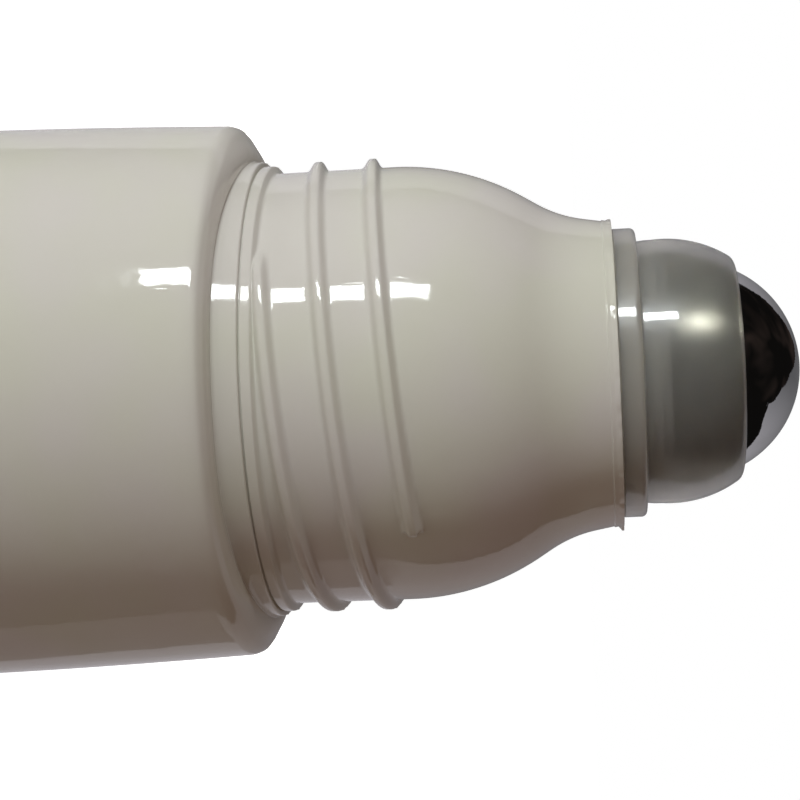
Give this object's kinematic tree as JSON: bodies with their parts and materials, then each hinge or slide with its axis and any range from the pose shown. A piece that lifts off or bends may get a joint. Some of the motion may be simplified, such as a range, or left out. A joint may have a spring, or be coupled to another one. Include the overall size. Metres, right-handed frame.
{
  "type": "roll on bottle",
  "caption": "Round glossy bottle with a threaded neck, a domed top and a pressed-in translucent housing that holds a rolling steel ball.",
  "frame": {"origin": "centre of the standing ring under the base, on the bottle's axis", "axes": "+Z along the bottle's axis, up from the base to the ball; the first thread ends near -Y, on the side that the picture shows"},
  "size_m": [0.041, 0.041, 0.1032],
  "materials": {
    "bottle": "glossy off-white blow-moulded polyethylene with faint moulding streaks",
    "ball_housing": "translucent natural polyethylene, satin on the barrel",
    "roller_ball": "mirror-polished stainless steel"
  },
  "bodies": {
    "bottle": {"bottle": "bottle", "ball_housing": "ball_housing"},
    "ball": {"roller_ball": "roller_ball"}
  },
  "joints": [
    {"name": "ball_roll", "type": "hinge", "parent": "bottle", "child": "ball", "pos_m": [0, 0, 0.0952], "axis": [1, 0, 0], "continuous": true}
  ]
}
